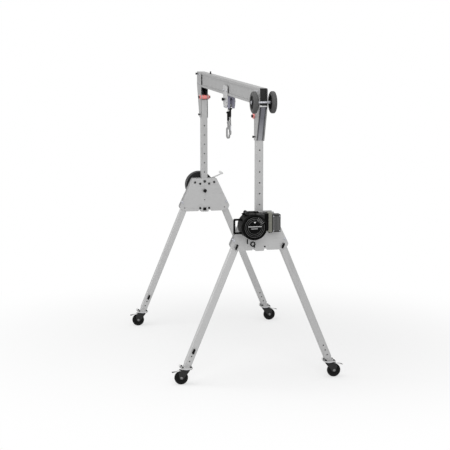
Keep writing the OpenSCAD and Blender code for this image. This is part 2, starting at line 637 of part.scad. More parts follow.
// Castor: fork, wheel and brake
fork_in = castor_tread / 2 + 2;
fork_t = 3.5;
brake_pin_r = 3;
brake_y = -castor_trail - 9;
brake_z = castor_d + 4;
module fork_side() {
    polygon(rounded([[-castor_trail - 17, castor_d / 2 - 14], [-castor_trail + 17, castor_d / 2 - 14],
        [30, swivel_z - 22], [34, swivel_z - 12], [-castor_trail, swivel_z - 12],
        [-castor_trail - 30, castor_d / 2 + 46]], [14, 14, 6, 2, 4, 10]));
    translate([brake_y, brake_z]) circle(8);
}
module fork(end, side) at_corner(end, side) at_castor() color("dimgray") {
    difference() {
        for (s = [-1, 1]) translate([s * (fork_in + fork_t / 2), 0, 0]) cross_sheet(fork_t) fork_side();
        translate([0, -castor_trail, castor_d / 2]) along_x(axle_r + run_gap, -past, past);
        translate([0, brake_y, brake_z]) along_x(brake_pin_r + run_gap, -past, past);
    }
    translate([0, 0, swivel_z - 13]) linear_extrude(4) square_bar(2 * (fork_in + fork_t), 4);
    translate([0, 0, swivel_z - 12]) cylinder(r = 32, h = 12 - pass_gap);
    translate([0, -castor_trail, castor_d / 2]) {
        along_x(axle_r, -fork_in - fork_t - 0.1, fork_in + fork_t + 0.1);
        for (s = [-1, 1]) translate([s * (fork_in + fork_t + 0.1), 0, 0]) rotate([0, 90 * s, 0])
            hex_head(9.5, 6);
    }
}
module wheel(end, side) at_corner(end, side) at_castor() translate([0, -castor_trail, castor_d / 2])
    rotate([0, 90, 0]) {
        half = castor_tread / 2;
        r = castor_d / 2;
        color("black") rotate_extrude($fn = 72) polygon(rounded([[r - 20, -half + 2], [r - 4, -half + 1],
            [r, -half + 9], [r, half - 9], [r - 4, half - 1], [r - 20, half - 2]], [1, 4, 6, 6, 4, 1]));
        color("dimgray") rotate_extrude($fn = 72) polygon([[axle_r + run_gap, -half], [14, -half],
            [16, -half + 6], [r - 24, -half + 6], [r - 20.1, -half + 3], [r - 20.1, half - 3],
            [r - 24, half - 6], [16, half - 6], [14, half], [axle_r + run_gap, half]]);
    }
module brake(end, side) at_corner(end, side) at_castor() color("lightgray")
    translate([0, brake_y, brake_z]) {
        along_x(brake_pin_r, -fork_in - fork_t, fork_in + fork_t);
        cross_sheet(2 * fork_in - 2 * pass_gap) polygon(rounded([[5, -1], [3, 4], [-30, -3], [-75, -13],
            [-77, -17], [-32, -8], [-4, -3]], [1, 3, 6, 1, 1, 6, 2]));
    }

// Rescue block on the near stand
block_x0 = plate_out + 16;
block_x1 = block_x0 + block_depth;
knob_r = 16;
crank_reach = drum_r + knob_r + 1.5;
crank_tilt = 24.5;
crank_y = -crank_reach * sin(crank_tilt);
crank_z = crank_reach * cos(crank_tilt);
crank_bolt_r = 8;
crank_lug_x = 44;
crank_lug_len = 66;
head_room = 11;
handle_x = block_x0 + 95;
ring_step = 14;
ring_face = block_depth - 4;
function ring(i) = let (r = drum_r - 16 - i * ring_step)
    [[r, ring_face], [r - 3, ring_face - 6], [r - 7, ring_face - 6], [r - 10, ring_face]];
module drum_cover() {
    rings = [for (i = [0:drum_rings - 1]) each ring(i)];
    hub = [[drum_hub_r + 4, ring_face], [drum_hub_r, block_depth], [0, block_depth]];
    translate([block_x0, 0, 0]) rotate([0, 90, 0]) rotate_extrude($fn = 72) polygon(rounded(
        concat([[0, 0], [drum_r, 0], [drum_r, block_depth - 14], [drum_r - 8, ring_face]], rings, hub),
        concat([0, 6, 6, 4], [for (p = rings) 1], [1, 1, 0])));
    for (turn = [20:16:68]) rotate([turn, 0, 0])
        translate([block_x0 + ring_face - 8, drum_hub_r + 6, -2.5]) cube([11, drum_r - drum_hub_r - 18, 5]);
    translate([block_x1 - 1, 0, drum_hub_r - 16]) rotate([0, 90, 0]) hex_head(9, 7);
}
module rescue_block() color("black") translate([span / 2, -block_y, block_z]) {
    drum_cover();
    translate([block_x0, 4, 0]) cube([block_depth - 60, block_y + 5.5, drum_r - 8]);
    difference() {
        translate([block_x0 + crank_lug_x, crank_y, crank_z]) union() {
            along_x(knob_r + 1, 0, crank_lug_len);
            translate([0, -14, -44]) cube([crank_lug_len, 28, 44]);
        }
        translate([0, crank_y, crank_z]) along_x(crank_bolt_r + run_gap, 0, block_x1);
    }
    for (z = [-1, 1]) translate([handle_x, 0, z * handle_half]) {
        along_y(handle_r, -handle_reach, -drum_r * 0.7);
        translate([0, -handle_reach, 0]) sphere(r = handle_r);
    }
    translate([handle_x, -handle_reach, -handle_half]) cylinder(r = handle_r, h = 2 * handle_half);
}
bracket_y = 58;
bracket_t = 35;
bracket_x = 100;
bracket_z0 = -63;
bracket_z1 = 114;
module rescue_gearbox() translate([span / 2 + plate_out + 0.1, 0, block_z]) {
    color("darkkhaki") {
        translate([0, -block_y - 40, -40]) cube([15.8, block_y + 40 + bracket_y + bracket_t, 55]);
        translate([head_room, bracket_y, bracket_z0])
            cube([bracket_x - head_room, bracket_t, bracket_z1 - bracket_z0]);
    }
    color("black") difference() {
        translate([15.9 + pass_gap, 10, -42]) cube([94, bracket_y - 10.1, 150]);
        translate([0, -block_y, 0]) along_x(drum_r + pass_gap, 0, block_depth);
    }
    color("dimgray") translate([head_room, bracket_y + bracket_t + 0.1, bracket_z0]) {
        linear_extrude(159) polygon(rounded([[0, 0], [bracket_x - 6, 0], [bracket_x - 6, 80], [0, 80]], 6));
        for (y = [10:12:70]) translate([bracket_x - 7, y - 2.5, 10]) cube([5, 5, 139]);
    }
}
module rescue_crank() color("dimgray")
    translate([span / 2 + block_x0, crank_y - block_y, block_z + crank_z]) {
        lug_end = crank_lug_x + crank_lug_len;
        along_x(12, crank_lug_x - 8, crank_lug_x - pass_gap);
        along_x(crank_bolt_r, crank_lug_x - 8, lug_end + 4);
        along_x(knob_r, lug_end + pass_gap, lug_end + 36);
    }

// Winch on the far stand: bracket, drum and crank
winch_x0 = plate_out + 0.1;
module winch() at_end(-1) translate([0, 0, winch_z]) {
    color("dimgray") {
        translate([winch_x0, -34, -70]) cube([14, 68, 140]);
        translate([winch_x0 + head_room, 0, -45]) cube([3, winch_y + 24, 90]);
        translate([0, winch_y, 0]) along_x(20, winch_x0 + 13, winch_x0 + 22);
    }
    color("black") translate([winch_x0 + 20, winch_y, 0]) rotate([0, 90, 0]) rotate_extrude($fn = 96)
        polygon(rounded([[14, 0], [winch_r - 4, 0], [winch_r, 6], [winch_r, winch_width - 6],
            [winch_r - 4, winch_width], [winch_r - 30, winch_width], [winch_r - 36, winch_width - 12],
            [60, winch_width - 12], [54, winch_width], [14, winch_width]], [0, 2, 2, 2, 2, 3, 3, 3, 3, 0]));
}
module winch_crank() at_end(-1) translate([0, winch_y, winch_z]) color("lightgray") {
    x = winch_x0 + 20 + winch_width;
    along_x(13.9, winch_x0 + 23, x + 14);
    rotate([-crank_angle, 0, 0]) {
        translate([x + 1, -crank_len, -7]) cube([7, crank_len, 14]);
        translate([0, -crank_len, 0]) {
            along_x(9, x + 1, x + 12);
            color("black") along_x(13, x + 12, x + 12 + grip_len);
        }
    }
}

beam();
end_caps();
head(1);  // head_near
head(-1);  // head_far
pivot_bushes();
transport_axle();
transport_wheel(-1);  // transport_wheel_left
transport_wheel(1);  // transport_wheel_right
head_plunger(1);  // head_plunger_near
head_plunger(-1);  // head_plunger_far
trolley_frame();
trolley_rollers(1);  // trolley_rollers_near
trolley_rollers(-1);  // trolley_rollers_far
sheave(1);  // sheave_near
sheave(-1);  // sheave_far
drop_rope(1, near_drop);  // rope_near
drop_rope(-1, far_drop);  // rope_far
hook(1, near_drop);  // hook_near
hook(-1, far_drop);  // hook_far
hook_gate(1, near_drop);  // hook_gate_near
hook_gate(-1, far_drop);  // hook_gate_far
upright(1);  // upright_near
upright(-1);  // upright_far
stand_plates(1);  // stand_plates_near
stand_plates(-1);  // stand_plates_far
stand_bolts(1);  // stand_bolts_near
stand_bolts(-1);  // stand_bolts_far
guide_blocks(1);  // guide_blocks_near
guide_blocks(-1);  // guide_blocks_far
height_plunger(1);  // height_plunger_near
height_plunger(-1);  // height_plunger_far
leg(1, -1);  // leg_near_left
leg(1, 1);  // leg_near_right
leg(-1, -1);  // leg_far_left
leg(-1, 1);  // leg_far_right
leg_pin(1, -1);  // leg_pin_near_left
leg_pin(1, 1);  // leg_pin_near_right
leg_pin(-1, -1);  // leg_pin_far_left
leg_pin(-1, 1);  // leg_pin_far_right
foot(1, -1);  // foot_near_left
foot(1, 1);  // foot_near_right
foot(-1, -1);  // foot_far_left
foot(-1, 1);  // foot_far_right
fork(1, -1);  // fork_near_left
fork(1, 1);  // fork_near_right
fork(-1, -1);  // fork_far_left
fork(-1, 1);  // fork_far_right
wheel(1, -1);  // wheel_near_left
wheel(1, 1);  // wheel_near_right
wheel(-1, -1);  // wheel_far_left
wheel(-1, 1);  // wheel_far_right
brake(1, -1);  // brake_near_left
brake(1, 1);  // brake_near_right
brake(-1, -1);  // brake_far_left
brake(-1, 1);  // brake_far_right
rescue_block();
rescue_gearbox();
rescue_crank();
winch();
winch_crank();
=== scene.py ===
import math

import bmesh
import bpy
from mathutils import Matrix, Vector


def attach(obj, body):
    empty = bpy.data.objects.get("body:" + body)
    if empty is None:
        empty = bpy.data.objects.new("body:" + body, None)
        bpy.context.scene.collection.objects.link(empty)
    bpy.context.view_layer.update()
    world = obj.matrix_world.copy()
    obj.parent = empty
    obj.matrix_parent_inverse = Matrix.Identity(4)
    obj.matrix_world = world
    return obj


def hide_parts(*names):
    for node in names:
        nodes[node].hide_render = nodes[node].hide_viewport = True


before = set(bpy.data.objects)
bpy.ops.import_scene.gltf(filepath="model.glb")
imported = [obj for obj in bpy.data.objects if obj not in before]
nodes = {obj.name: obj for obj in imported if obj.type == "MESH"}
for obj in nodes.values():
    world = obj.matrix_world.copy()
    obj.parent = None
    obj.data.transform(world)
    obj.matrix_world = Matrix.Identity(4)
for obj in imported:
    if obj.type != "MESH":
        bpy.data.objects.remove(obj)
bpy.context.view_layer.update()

scene = bpy.context.scene
print("stage 1: frame loaded,", len(nodes), "nodes")

# the camera looks slightly down from near the end with the transport wheels
cameraPlace = {
    "azimuth": 78.083,
    "elevation": 8.662,
    "distance": 15.403,
    "target": (0.2184, -0.0881, 1.3073),
    "lens": 124.85,
    "sensor": 36.0,
    "clipEnd": 200.0,
}


def placeCamera(place):
    turn, lift = math.radians(place["azimuth"]), math.radians(place["elevation"])
    back = Vector((math.sin(turn) * math.cos(lift), -math.cos(turn) * math.cos(lift), math.sin(lift)))
    lens = bpy.data.cameras.new("camera")
    lens.lens = place["lens"]
    lens.sensor_width = place["sensor"]
    lens.clip_end = place["clipEnd"]
    eye = bpy.data.objects.new("camera", lens)
    eye.location = Vector(place["target"]) + back * place["distance"]
    eye.rotation_euler = (-back).to_track_quat("-Z", "Y").to_euler()
    scene.collection.objects.link(eye)
    scene.camera = eye


placeCamera(cameraPlace)

# the crane's layout: stand and leg pivots, and the signs of each end and side
stand = {"x": 1.3, "pivotY": 0.105, "pivotZ": 1.550, "legSlope": math.radians(22.5)}
ends = {"near": 1, "far": -1}
sides = {"left": -1, "right": 1}

# mesh tools
sharpAngle = 30.0    # edges that turn by more degrees than this stay crisp
onAxis = 1e-9        # a lathe radius up to this is a point on the axis


def newPiece(name, vertices, faces, look, body, smooth):
    mesh = bpy.data.meshes.new(name)
    mesh.from_pydata([tuple(v) for v in vertices], [], faces)
    mesh.update()
    piece = bpy.data.objects.new(name, mesh)
    scene.collection.objects.link(piece)
    work = bmesh.new()
    work.from_mesh(mesh)
    bmesh.ops.recalc_face_normals(work, faces=work.faces)
    work.to_mesh(mesh)
    work.free()
    mesh.materials.append(looks[look])
    mesh.shade_smooth()
    mesh.set_sharp_from_angle(angle=math.radians(smooth))
    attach(piece, body)
    return piece


def roundEdges(piece, width, segments=2):
    edge = piece.modifiers.new("edge", "BEVEL")
    edge.width = width
    edge.segments = segments
    edge.limit_method = "ANGLE"
    edge.angle_limit = math.radians(sharpAngle)
    edge.harden_normals = True


def frameAlong(direction):
    # a turn that brings Z onto the direction
    return Vector((0, 0, 1)).rotation_difference(Vector(direction).normalized()).to_matrix().to_4x4()


def at(x, y, z, direction=(0, 0, 1)):
    return Matrix.Translation((x, y, z)) @ frameAlong(direction)


def sideOn(x):
    # stands an outline of (y, z) pairs upright, so that its thickness runs along X
    return Matrix.Translation((x, 0, 0)) @ Matrix(((0, 0, 1, 0), (1, 0, 0, 0), (0, 1, 0, 0), (0, 0, 0, 1)))


def ringOf(radius, steps):
    return [(radius * math.cos(math.tau * k / steps), radius * math.sin(math.tau * k / steps))
            for k in range(steps)]


class Parts:
    # collects several closed shapes into one mesh
    def __init__(self):
        self.vertices, self.faces = [], []

    def add(self, vertices, faces, place):
        base = len(self.vertices)
        self.vertices += [place @ Vector(v) for v in vertices]
        self.faces += [[base + i for i in f] for f in faces]
        return self

    def lathe(self, profile, place, steps):
        # profile: (radius, height) pairs from the bottom up, closed to a ring where both ends are off the axis
        vertices, faces, rings = [], [], []
        for radius, height in profile:
            start = len(vertices)
            if radius <= onAxis:
                vertices.append((0, 0, height))
            else:
                vertices += [(x, y, height) for x, y in ringOf(radius, steps)]
            rings.append(range(start, len(vertices)))
        closed = profile[0][0] > onAxis and profile[-1][0] > onAxis
        for a, b in zip(rings, rings[1:] + (rings[:1] if closed else [])):
            for k in range(steps):
                n = (k + 1) % steps
                if len(a) == 1 and len(b) > 1:
                    faces.append([a[0], b[k], b[n]])
                elif len(b) == 1 and len(a) > 1:
                    faces.append([a[k], a[n], b[0]])
                elif len(a) > 1:
                    faces.append([a[k], a[n], b[n], b[k]])
        return self.add(vertices, faces, place)

    def prism(self, outline, height, place):
        count = len(outline)
        vertices = [(x, y, 0) for x, y in outline] + [(x, y, height) for x, y in outline]
        faces = [list(range(count))[::-1], list(range(count, 2 * count))]
        faces += [[k, (k + 1) % count, count + (k + 1) % count, count + k] for k in range(count)]
        return self.add(vertices, faces, place)

    def block(self, low, high):
        (x0, y0, z0), (x1, y1, z1) = low, high
        return self.prism([(x0, y0), (x1, y0), (x1, y1), (x0, y1)], z1 - z0, at(0, 0, z0))

    def tube(self, points, radii, corners=8, closed=False):
        # a round bar along a line, with one radius for each point
        count = len(points)
        ahead = []
        for i in range(count):
            before = points[i - 1] if (i or closed) else points[0]
            after = points[(i + 1) % count] if (i < count - 1 or closed) else points[-1]
            ahead.append((after - before).normalized())
        side = ahead[0].orthogonal().normalized()
        vertices, faces = [], []
        for i, point in enumerate(points):
            side = (side - ahead[i] * side.dot(ahead[i])).normalized()
            other = ahead[i].cross(side)
            vertices += [point + side * x + other * y for x, y in ringOf(radii[i], corners)]
        for i in range(count if closed else count - 1):
            a, b = i * corners, ((i + 1) % count) * corners
            faces += [[a + k, a + (k + 1) % corners, b + (k + 1) % corners, b + k] for k in range(corners)]
        if not closed:
            faces += [list(range(corners))[::-1], list(range((count - 1) * corners, count * corners))]
        return self.add(vertices, faces, Matrix.Identity(4))

    def piece(self, name, look, body, smooth=sharpAngle):
        return newPiece(name, self.vertices, self.faces, look, body, smooth)


# materials
def feed(tree, target, value):
    if isinstance(value, bpy.types.NodeSocket):
        tree.links.new(value, target)
    else:
        target.default_value = value


def addNode(tree, kind, inputs=None, **values):
    node = tree.nodes.new(kind)
    for key, value in values.items():
        setattr(node, key, value)
    for socket, value in (inputs or {}).items():
        feed(tree, node.inputs[socket], value)
    return node


def grain(tree, size, detail, along=None, stretch=1.0, rough=0.5):
    # noise whose features are about size metres wide, drawn out along one direction
    coords = addNode(tree, "ShaderNodeTexCoord")
    turn = frameAlong(along).to_euler() if along else (0, 0, 0)
    mapping = addNode(tree, "ShaderNodeMapping", {
        "Vector": coords.outputs["Object"], "Rotation": turn, "Scale": (1, 1, stretch),
    }, vector_type="TEXTURE")
    noise = addNode(tree, "ShaderNodeTexNoise", {
        "Vector": mapping.outputs["Vector"], "Scale": 1.0 / size, "Detail": detail, "Roughness": rough})
    return noise.outputs["Fac"]


def span(tree, value, low, high, fromLow=0.3, fromHigh=0.7):
    # spreads a value over low to high; most of the noise lies between 0.3 and 0.7
    spread = addNode(tree, "ShaderNodeMapRange", {
        "Value": value, "From Min": fromLow, "From Max": fromHigh, "To Min": low, "To Max": high})
    return spread.outputs["Result"]


def mix(tree, factor, first, second):
    node = addNode(tree, "ShaderNodeMix", {"Factor": factor}, data_type="RGBA")
    for name, value in (("A", first), ("B", second)):
        target = [s for s in node.inputs if s.name == name and s.type == "RGBA"][0]
        feed(tree, target, value if isinstance(value, bpy.types.NodeSocket) else (*value, 1.0))
    return [s for s in node.outputs if s.type == "RGBA"][0]


def objectAxis(tree, axis):
    coords = addNode(tree, "ShaderNodeTexCoord")
    return addNode(tree, "ShaderNodeSeparateXYZ", {"Vector": coords.outputs["Object"]}).outputs[axis]


def grey(value, tint=(1, 1, 1)):
    # an sRGB grey level as the linear colour that renders as it
    linear = value / 12.92 if value <= 0.04045 else ((value + 0.055) / 1.055) ** 2.4
    return tuple(linear * t for t in tint)


# how every finish is mottled: fine grain, broad darker clouds, worn spots and a slight relief
mottle = {
    "fineDetail": 3.0,
    "cloudSize": 0.12, "cloudDetail": 3.0, "cloudShare": 0.5, "cloudDepth": 1.2,
    "wearDetail": 6.0, "wearRough": 0.65, "wearRange": (0.6, 0.68), "wearShare": 0.6,
    "wearShorter": 8,    # worn spots are drawn out this many times less than the grain
    "reliefDetail": 4.0,
}


def addMaterial(name, colour, roughness, spread, fine, bump, bumpDepth, metallic=0.0, specular=0.5,
                roughSpread=0.06, along=None, stretch=1.0, wear=None, wearSize=None,
                fade=None, across=None):
    # spread, fine: how far the tone wanders, and the width of the grain
    # along, stretch: the direction of the grain, and how far it is drawn out
    # wear, wearSize: the colour and width of worn spots
    # fade: two heights and the colour of a painted shade that the finish turns to between them
    # across: two distances from the middle plane and the colour of a painted shade beyond them
    material = bpy.data.materials.new(name)
    material.use_nodes = True
    tree = material.node_tree
    shader = tree.nodes["Principled BSDF"]
    shader.inputs["Metallic"].default_value = metallic
    shader.inputs["Specular IOR Level"].default_value = specular
    fineGrain = grain(tree, fine, mottle["fineDetail"], along, stretch)
    clouds = grain(tree, mottle["cloudSize"], mottle["cloudDetail"])
    light = tuple(min(1.0, c * (1 + spread)) for c in colour)
    dark = tuple(c * (1 - spread) for c in colour)
    cloudy = tuple(c * (1 - mottle["cloudDepth"] * spread) for c in colour)
    base = mix(tree, span(tree, fineGrain, 0, 1), dark, light)
    base = mix(tree, span(tree, clouds, 0, mottle["cloudShare"]), base, cloudy)
    if wear:
        spots = grain(tree, wearSize, mottle["wearDetail"], along,
                      max(1.0, stretch / mottle["wearShorter"]), mottle["wearRough"])
        base = mix(tree, span(tree, spots, 0, mottle["wearShare"], *mottle["wearRange"]), base, wear)
    # painted shade and reflection: the finish darkens from one height to the next
    if fade:
        low, high, shade = fade
        base = mix(tree, span(tree, objectAxis(tree, "Z"), 0, 1, low, high), base, shade)
    # painted shade: the finish darkens away from the middle plane, as in the corners of a channel
    if across:
        low, high, shade = across
        off = addNode(tree, "ShaderNodeMath", {0: objectAxis(tree, "Y")}, operation="ABSOLUTE")
        base = mix(tree, span(tree, off.outputs["Value"], 0, 1, low, high), base, shade)
    tree.links.new(base, shader.inputs["Base Color"])
    shine = span(tree, clouds, roughness - roughSpread, roughness + roughSpread)
    tree.links.new(shine, shader.inputs["Roughness"])
    relief = grain(tree, fine, mottle["reliefDetail"], along, stretch)
    lift = addNode(tree, "ShaderNodeBump", {"Height": relief, "Strength": bump, "Distance": bumpDepth})
    tree.links.new(lift.outputs["Normal"], shader.inputs["Normal"])
    return material


leftLeg = (0, -math.sin(stand["legSlope"]), -math.cos(stand["legSlope"]))
rightLeg = (0, math.sin(stand["legSlope"]), -math.cos(stand["legSlope"]))
# drawn tubes have long fine lines, rolled plates have shorter ones
drawnAlloy = {"roughness": 0.5, "metallic": 0.6, "spread": 0.04, "fine": 0.0016, "stretch": 60.0,
              "roughSpread": 0.04, "bump": 0.04, "bumpDepth": 0.0002, "wearSize": 0.05}
rolledAlloy = {"roughness": 0.46, "metallic": 0.6, "spread": 0.05, "fine": 0.0015, "stretch": 30.0,
               "bump": 0.1, "bumpDepth": 0.0002, "wearSize": 0.04}
darkFinish = {"spread": 0.14, "bumpDepth": 0.0002}
finishes = {
    "beamAlloy": {"colour": grey(0.60), "along": (1, 0, 0), "wear": grey(0.54), **drawnAlloy},
    "uprightAlloy": {"colour": grey(0.66), "along": (0, 0, 1), "wear": grey(0.59), **drawnAlloy},
    # the right legs are the same tubes as the left, painted a shade darker: painted shade
    "leftLegAlloy": {"colour": grey(0.70), "along": leftLeg, "wear": grey(0.63), **drawnAlloy},
    "rightLegAlloy": {"colour": grey(0.68), "along": rightLeg, "wear": grey(0.61), **drawnAlloy},
    "plateAlloy": {"colour": grey(0.69), "along": (0, 1, 0), "wear": grey(0.62), **rolledAlloy},
    "headAlloy": {"colour": grey(0.59), "along": (0, 0, 1), "wear": grey(0.52), **rolledAlloy},
    # painted shade and reflection on the head's web: darker and bluish towards the top, and dark at its sides
    # next to the plates
    "webAlloyPaintedShade": {"colour": grey(0.60, (0.98, 0.99, 1.04)), "along": (0, 0, 1), "wear": grey(0.54),
                 "fade": (2.27, 2.46, grey(0.42, (0.97, 0.97, 1.12))),
                 "across": (0.014, 0.027, grey(0.20, (0.97, 0.97, 1.1))), **rolledAlloy},
    # painted shade: the same alloy inside the tubes and the beam, darkened as the shade in their hollows
    "paintedShadeInside": {"colour": grey(0.30), "roughness": 0.6, "metallic": 0.5, "spread": 0.08, "fine": 0.002,
                   "bump": 0.1, "bumpDepth": 0.0002, "wear": grey(0.24), "wearSize": 0.02},
    "brightZinc": {"colour": grey(0.72, (0.97, 0.98, 1.05)), "roughness": 0.3, "metallic": 0.85,
                   "spread": 0.1, "fine": 0.003, "bump": 0.1, "bumpDepth": 0.0003,
                   "wear": grey(0.55), "wearSize": 0.01},
    "blueZinc": {"colour": grey(0.50, (0.95, 0.94, 1.2)), "roughness": 0.42, "metallic": 0.35,
                 "spread": 0.1, "fine": 0.003, "bump": 0.1, "bumpDepth": 0.0003,
                 "wear": grey(0.40), "wearSize": 0.01},
    "forgedGrey": {"colour": grey(0.58), "roughness": 0.22, "metallic": 0.85, "spread": 0.12,
                   "fine": 0.0015, "bump": 0.15, "bumpDepth": 0.0003, "wear": grey(0.16), "wearSize": 0.012},
    "blackOxide": {"colour": grey(0.10), "roughness": 0.6, "metallic": 0.2, "specular": 0.3, "fine": 0.002,
                   "bump": 0.15, "wear": grey(0.20), "wearSize": 0.008, **darkFinish},
    "forkGrey": {"colour": grey(0.15), "roughness": 0.5, "metallic": 0.3, "specular": 0.3, "fine": 0.0015,
                 "bump": 0.15, "wear": grey(0.28), "wearSize": 0.012, **darkFinish},
    "mouldedBlack": {"colour": grey(0.045), "roughness": 0.68, "specular": 0.15, "roughSpread": 0.08,
                     "fine": 0.0009, "bump": 0.2, "wear": grey(0.07), "wearSize": 0.012, **darkFinish},
    "housingBlack": {"colour": grey(0.018), "roughness": 0.62, "specular": 0.06, "fine": 0.0016,
                     "bump": 0.1, "wear": grey(0.06), "wearSize": 0.02, **darkFinish},
    "housingGrey": {"colour": grey(0.17), "roughness": 0.6, "specular": 0.15, "fine": 0.0012, "bump": 0.15,
                    "wear": grey(0.21), "wearSize": 0.02, **darkFinish},
    # painted highlight: the drum's bands and the winch's rim are a lighter grey than their housings, standing
    # in for glints on their edges; their gloss is real
    "ringGlossPaintedHighlight": {"colour": grey(0.26), "roughness": 0.28, "fine": 0.0012, "bump": 0.1,
                  "wear": grey(0.34), "wearSize": 0.01, **darkFinish},
    # painted highlight: a pale grey on the rib faces of the drum and the gearbox, standing in for their
    # highlights; the castors' axle caps share it
    "ribGreyPaintedHighlight": {"colour": grey(0.44), "roughness": 0.4, "metallic": 0.3, "fine": 0.0012, "bump": 0.15,
                "wear": grey(0.36), "wearSize": 0.01, **darkFinish},
    "plainStrip": {"colour": grey(0.66), "roughness": 0.35, "metallic": 0.3, "spread": 0.04, "fine": 0.001,
                   "along": (0, 1, 0), "stretch": 20.0, "bump": 0.05, "bumpDepth": 0.0001},
    "redAnodised": {"colour": (0.78, 0.25, 0.235), "roughness": 0.36, "metallic": 0.15, "spread": 0.08,
                    "fine": 0.001, "along": (0, 1, 0), "bump": 0.08, "bumpDepth": 0.0002},
    "whiteZinc": {"colour": grey(0.80), "roughness": 0.34, "metallic": 0.35, "spread": 0.06, "fine": 0.002,
                  "bump": 0.1, "bumpDepth": 0.0002, "wear": grey(0.66), "wearSize": 0.01},
    "greyRubber": {"colour": grey(0.27), "roughness": 0.7, "specular": 0.3, "spread": 0.1, "fine": 0.0015,
                   "bump": 0.3, "bumpDepth": 0.0004, "wear": grey(0.40), "wearSize": 0.02},
    "blackRubber": {"colour": grey(0.04), "roughness": 0.55, "specular": 0.15, "fine": 0.0012, "bump": 0.3,
                    "wear": grey(0.07), "wearSize": 0.012, **darkFinish},
    "olivePowder": {"colour": (0.155, 0.155, 0.13), "roughness": 0.55, "spread": 0.08, "fine": 0.0008,
                    "bump": 0.35, "bumpDepth": 0.0003, "wear": (0.27, 0.27, 0.22), "wearSize": 0.015},
    "strandSteel": {"colour": grey(0.28), "roughness": 0.42, "metallic": 0.8, "spread": 0.2, "fine": 0.001,
                    "bump": 0.2, "bumpDepth": 0.0002},
}
looks = {name: addMaterial(name, **finish) for name, finish in finishes.items()}
print("stage 2:", len(looks), "finishes mixed")

# two wire ropes leave the trolley's end plates, bend over the sheaves and hang down to the hooks
rope = {
    "thick": 0.008, "strands": 6, "strandShare": 0.36, "coreShare": 0.8, "crisp": 60,
    "lay": 0.05, "step": 0.002,    # one turn of the strands, and the length of one short piece
    "exit": 0.098, "exitStep": 0.003, "exitPoints": 8,
    "bend": 0.025, "bendHeight": 2.515, "bendSteps": 12,
    "dropX": 0.048, "foot": {"near": 2.435, "far": 2.390}, "dropSteps": 16,
}


def ropeRoute(end):
    way = ends[end]
    x, bend, top, foot = rope["dropX"], rope["bend"], rope["bendHeight"], rope["foot"][end]
    route = []
    for i in range(rope["exitPoints"]):
        route.append((way * (rope["exit"] - rope["exitStep"] * i), 0, top + bend))
    for i in range(rope["bendSteps"] + 1):
        a = math.radians(90 + 90 / rope["bendSteps"] * i)
        route.append((way * (x + bend + bend * math.cos(a)), 0, top + bend * math.sin(a)))
    steps = rope["dropSteps"]
    route += [(way * x, 0, top + (foot - top) * (i + 1) / steps) for i in range(steps)]
    return [Vector(p) for p in route]


def finer(points, step):
    fine = [points[0]]
    for a, b in zip(points, points[1:]):
        cuts = max(1, round((b - a).length / step))
        fine += [a.lerp(b, (i + 1) / cuts) for i in range(cuts)]
    return fine


def makeRope(end):
    route = finer(ropeRoute(end), rope["step"])
    travelled = [0.0]
    for a, b in zip(route, route[1:]):
        travelled.append(travelled[-1] + (b - a).length)
    strandR = rope["thick"] / 2 * rope["strandShare"]
    ringR = rope["thick"] / 2 - strandR
    across = Vector((0, 1, 0))
    parts = Parts()
    for strand in range(rope["strands"]):
        line = []
        for i, p in enumerate(route):
            ahead = (route[min(i + 1, len(route) - 1)] - route[max(i - 1, 0)]).normalized()
            other = ahead.cross(across)
            a = math.tau * (strand / rope["strands"] + travelled[i] / rope["lay"])
            line.append(p + across * ringR * math.cos(a) + other * ringR * math.sin(a))
        parts.tube(line, [strandR] * len(line))
    parts.tube(route, [ringR * rope["coreShare"]] * len(route))
    piece = parts.piece(f"wireRope_{end}", "strandSteel", "trolley", rope["crisp"])
    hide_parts(f"rope_{end}")
    return piece, route, travelled[-1]


for end in ends:
    piece, route, length = makeRope(end)
print("stage 3: wire ropes laid")

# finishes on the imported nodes
cornersPerMetre = 20000    # corners on the same point of this grid count as one


def islandsOf(mesh):
    # groups of faces that share corners: the closed shapes of a node
    keys = {}
    parent = list(range(len(mesh.vertices)))

    def root(i):
        while parent[i] != i:
            parent[i] = parent[parent[i]]
            i = parent[i]
        return i

    for v in mesh.vertices:
        key = tuple(round(c * cornersPerMetre) for c in v.co)
        if key in keys:
            parent[root(v.index)] = root(keys[key])
        keys[key] = v.index
    for face in mesh.polygons:
        first = root(face.vertices[0])
        for other in face.vertices[1:]:
            parent[root(other)] = first
    groups = {}
    for face in mesh.polygons:
        groups.setdefault(root(face.vertices[0]), []).append(face)
    return list(groups.values())


def paint(nodeName, main, choose=None, others=()):
    # choose(middle, size, face) names one of the other finishes, by the middle and size of a closed shape
    # or by one of its faces, or gives None for the main finish
    mesh = nodes[nodeName].data
    mesh.materials.clear()
    names = [main, *others]
    for name in names:
        mesh.materials.append(looks[name])
    for face in mesh.polygons:
        face.material_index = 0
    if choose:
        for group in islandsOf(mesh):
            corners = [mesh.vertices[i].co for face in group for i in face.vertices]
            low = Vector([min(c[k] for c in corners) for k in range(3)])
            high = Vector([max(c[k] for c in corners) for k in range(3)])
            for face in group:
                picked = choose((low + high) / 2, high - low, face)
                if picked:
                    face.material_index = names.index(picked)


# where one finish ends and the next begins, in metres
beamHollow = {"half": 0.023, "bottom": 2.577, "top": 2.728}
